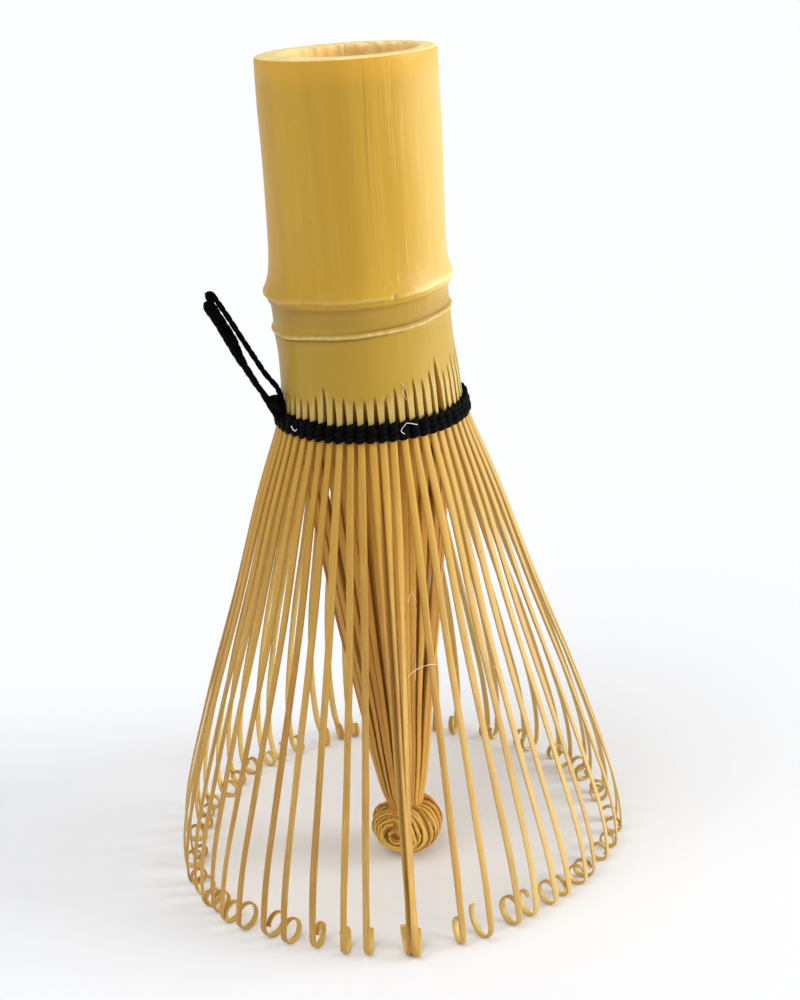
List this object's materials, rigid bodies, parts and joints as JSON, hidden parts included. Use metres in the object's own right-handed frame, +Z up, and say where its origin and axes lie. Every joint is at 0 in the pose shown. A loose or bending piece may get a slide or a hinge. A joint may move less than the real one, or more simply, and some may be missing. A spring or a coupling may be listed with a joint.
{
  "type": "matcha whisk",
  "caption": "Upright bamboo tea whisk: hollow handle split into springy outer tines and a wound inner bundle, bound with black thread.",
  "frame": {"origin": "on the ground plane under the middle of the culm, with the whisk standing on its curled tines", "axes": "+Z up along the culm towards the open end of the handle; -Y is the side seen in the picture; the thread loop stands out on the -X side"},
  "size_m": [0.063, 0.063, 0.11],
  "materials": {
    "bamboo_culm": "satin waxy bamboo skin",
    "bamboo_outer_tines": "split and shaved bamboo, satin",
    "bamboo_inner_tines": "split bamboo, matt",
    "binding_thread": "black waxed thread"
  },
  "bodies": {
    "handle": {"handle": "bamboo_culm", "inner_tines_1": "bamboo_inner_tines", "inner_tines_2": "bamboo_inner_tines", "inner_tines_3": "bamboo_inner_tines", "inner_tines_4": "bamboo_inner_tines", "inner_tines_5": "bamboo_inner_tines", "inner_tines_6": "bamboo_inner_tines", "inner_tines_7": "bamboo_inner_tines", "inner_tines_8": "bamboo_inner_tines", "binding_thread_outer": "binding_thread", "binding_thread_inner": "binding_thread", "thread_knot": "binding_thread", "thread_loop": "binding_thread"},
    "outer_tines_01": {"outer_tines_01": "bamboo_outer_tines"},
    "outer_tines_02": {"outer_tines_02": "bamboo_outer_tines"},
    "outer_tines_03": {"outer_tines_03": "bamboo_outer_tines"},
    "outer_tines_04": {"outer_tines_04": "bamboo_outer_tines"},
    "outer_tines_05": {"outer_tines_05": "bamboo_outer_tines"},
    "outer_tines_06": {"outer_tines_06": "bamboo_outer_tines"},
    "outer_tines_07": {"outer_tines_07": "bamboo_outer_tines"},
    "outer_tines_08": {"outer_tines_08": "bamboo_outer_tines"},
    "outer_tines_09": {"outer_tines_09": "bamboo_outer_tines"},
    "outer_tines_10": {"outer_tines_10": "bamboo_outer_tines"},
    "outer_tines_11": {"outer_tines_11": "bamboo_outer_tines"},
    "outer_tines_12": {"outer_tines_12": "bamboo_outer_tines"},
    "outer_tines_13": {"outer_tines_13": "bamboo_outer_tines"},
    "outer_tines_14": {"outer_tines_14": "bamboo_outer_tines"}
  },
  "joints": [
    {"name": "outer_tines_01_flex", "type": "hinge", "parent": "handle", "child": "outer_tines_01", "pos_m": [0.01153, 0.00196, 0.0647], "axis": [0.1675, -0.9859, 0], "range_deg": [-4, 8], "stiffness_Nm_per_rad": 0.03},
    {"name": "outer_tines_02_flex", "type": "hinge", "parent": "handle", "child": "outer_tines_02", "pos_m": [0.00953, 0.00677, 0.0647], "axis": [0.5787, -0.8156, 0], "range_deg": [-4, 8], "stiffness_Nm_per_rad": 0.03},
    {"name": "outer_tines_03_flex", "type": "hinge", "parent": "handle", "child": "outer_tines_03", "pos_m": [0.00566, 0.01023, 0.0647], "axis": [0.8752, -0.4837, 0], "range_deg": [-4, 8], "stiffness_Nm_per_rad": 0.03},
    {"name": "outer_tines_04_flex", "type": "hinge", "parent": "handle", "child": "outer_tines_04", "pos_m": [0.00065, 0.01167, 0.0647], "axis": [0.9984, -0.0561, 0], "range_deg": [-4, 8], "stiffness_Nm_per_rad": 0.03},
    {"name": "outer_tines_05_flex", "type": "hinge", "parent": "handle", "child": "outer_tines_05", "pos_m": [-0.00447, 0.0108, 0.0647], "axis": [0.9239, 0.3827, 0], "range_deg": [-4, 8], "stiffness_Nm_per_rad": 0.03},
    {"name": "outer_tines_06_flex", "type": "hinge", "parent": "handle", "child": "outer_tines_06", "pos_m": [-0.00872, 0.00779, 0.0647], "axis": [0.6663, 0.7456, 0], "range_deg": [-4, 8], "stiffness_Nm_per_rad": 0.03},
    {"name": "outer_tines_07_flex", "type": "hinge", "parent": "handle", "child": "outer_tines_07", "pos_m": [-0.01123, 0.00324, 0.0647], "axis": [0.2768, 0.9609, 0], "range_deg": [-4, 8], "stiffness_Nm_per_rad": 0.03},
    {"name": "outer_tines_08_flex", "type": "hinge", "parent": "handle", "child": "outer_tines_08", "pos_m": [-0.01153, -0.00196, 0.0647], "axis": [-0.1675, 0.9859, 0], "range_deg": [-4, 8], "stiffness_Nm_per_rad": 0.03},
    {"name": "outer_tines_09_flex", "type": "hinge", "parent": "handle", "child": "outer_tines_09", "pos_m": [-0.00953, -0.00677, 0.0647], "axis": [-0.5787, 0.8156, 0], "range_deg": [-4, 8], "stiffness_Nm_per_rad": 0.03},
    {"name": "outer_tines_10_flex", "type": "hinge", "parent": "handle", "child": "outer_tines_10", "pos_m": [-0.00566, -0.01023, 0.0647], "axis": [-0.8752, 0.4837, 0], "range_deg": [-4, 8], "stiffness_Nm_per_rad": 0.03},
    {"name": "outer_tines_11_flex", "type": "hinge", "parent": "handle", "child": "outer_tines_11", "pos_m": [-0.00065, -0.01167, 0.0647], "axis": [-0.9984, 0.0561, 0], "range_deg": [-4, 8], "stiffness_Nm_per_rad": 0.03},
    {"name": "outer_tines_12_flex", "type": "hinge", "parent": "handle", "child": "outer_tines_12", "pos_m": [0.00447, -0.0108, 0.0647], "axis": [-0.9239, -0.3827, 0], "range_deg": [-4, 8], "stiffness_Nm_per_rad": 0.03},
    {"name": "outer_tines_13_flex", "type": "hinge", "parent": "handle", "child": "outer_tines_13", "pos_m": [0.00872, -0.00779, 0.0647], "axis": [-0.6663, -0.7456, 0], "range_deg": [-4, 8], "stiffness_Nm_per_rad": 0.03},
    {"name": "outer_tines_14_flex", "type": "hinge", "parent": "handle", "child": "outer_tines_14", "pos_m": [0.01123, -0.00324, 0.0647], "axis": [-0.2768, -0.9609, 0], "range_deg": [-4, 8], "stiffness_Nm_per_rad": 0.03}
  ]
}
